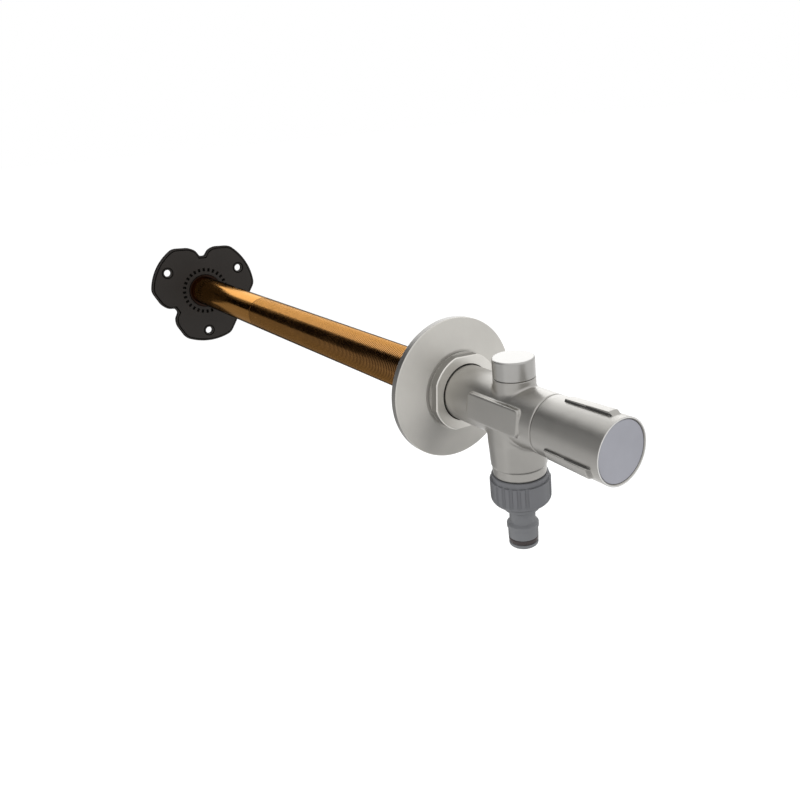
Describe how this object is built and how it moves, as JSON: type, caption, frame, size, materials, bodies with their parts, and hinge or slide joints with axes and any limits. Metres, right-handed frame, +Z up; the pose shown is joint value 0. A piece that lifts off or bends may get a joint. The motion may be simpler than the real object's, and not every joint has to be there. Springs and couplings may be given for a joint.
{
  "type": "frost free sillcock",
  "caption": "Outdoor wall tap with long threaded wall tube, rosette, inner flange, ribbed knob, vent cap and hose nipple; its valve seat sits at the warm inner end.",
  "frame": {"origin": "centre of the rosette's back face, on the outer wall face", "axes": "+Y through the wall towards the room, -Y towards the garden and the knob, +Z up towards the vent cap, outlet down along -Z"},
  "size_m": [0.0994, 0.5614, 0.1216],
  "materials": {
    "satin_nickel": "cast brass with a fine satin nickel plating",
    "raw_brass": "turned brass",
    "bronze_tube": "polished bronze coloured tube with a fine outside thread",
    "copper": "dark drawn copper",
    "black_plastic": "fine grained black moulding",
    "dark_grey_plastic": "dark grey moulding",
    "grey_plastic": "grey moulding",
    "disc_plastic": "satin blue grey moulding",
    "white_plastic": "natural acetal",
    "black_rubber": "black rubber",
    "brown_rubber": "dark brown greased rubber",
    "steel": "stainless steel"
  },
  "bodies": {
    "tap": {"wall_flange": "black_plastic", "flange_collar": "copper", "wall_tube": "bronze_tube", "water_pipe": "copper", "inlet_body": "raw_brass", "check_housing": "white_plastic", "check_seal": "black_rubber", "check_spring": "steel", "valve_cage": "raw_brass", "stem_guides": "white_plastic", "bonnet": "raw_brass", "bonnet_seal": "black_rubber", "valve_body": "satin_nickel", "tube_seal": "black_rubber", "pipe_o_rings": "black_rubber", "rosette": "satin_nickel", "rosette_nut": "satin_nickel", "rosette_seal": "black_rubber", "neck_seal": "black_rubber", "vent_cap": "satin_nickel", "vent_insert": "raw_brass", "vent_o_ring": "black_rubber"},
    "handle": {"stem": "raw_brass", "stem_o_rings": "black_rubber", "thrust_washer": "white_plastic", "stem_circlip": "steel", "knob_sleeve": "satin_nickel", "knob_core": "black_plastic", "knob_screw": "steel", "knob_disc": "disc_plastic"},
    "piston": {"valve_piston": "raw_brass", "seat_washer": "black_rubber", "washer_screw": "steel"},
    "check": {"check_poppet": "white_plastic"},
    "float": {"vent_float": "white_plastic"},
    "nipple": {"hose_nipple": "grey_plastic", "union_washer": "black_rubber", "nipple_o_ring": "brown_rubber"},
    "union": {"union_nut": "dark_grey_plastic"}
  },
  "joints": [
    {"name": "knob_turn", "type": "hinge", "parent": "tap", "child": "handle", "pos_m": [0, -0.1, 0], "axis": [0, -1, 0], "range_deg": [0, 1080]},
    {"name": "piston_slide", "type": "slide", "parent": "tap", "child": "piston", "axis": [0, -1, 0], "range_m": [0, 0.00601]},
    {"name": "check_slide", "type": "slide", "parent": "tap", "child": "check", "axis": [0, -1, 0], "range_m": [0, 0.004], "stiffness_N_per_m": 40, "springref_m": -0.004, "deforming": ["check_spring"]},
    {"name": "float_lift", "type": "slide", "parent": "tap", "child": "float", "axis": [0, 0, 1], "range_m": [0, 0.00145]},
    {"name": "nipple_drop", "type": "slide", "parent": "tap", "child": "nipple", "axis": [0, 0, -1], "range_m": [0, 0.00908]},
    {"name": "nut_turn", "type": "hinge", "parent": "nipple", "child": "union", "pos_m": [0, -0.055, -0.04], "axis": [0, 0, -1], "range_deg": [0, 1800]}
  ],
  "couplings": [
    {"joint": "piston_slide", "follows": "knob_turn", "m_per_rad": 0.0003183},
    {"joint": "nipple_drop", "follows": "nut_turn", "m_per_rad": 0.0002887}
  ]
}
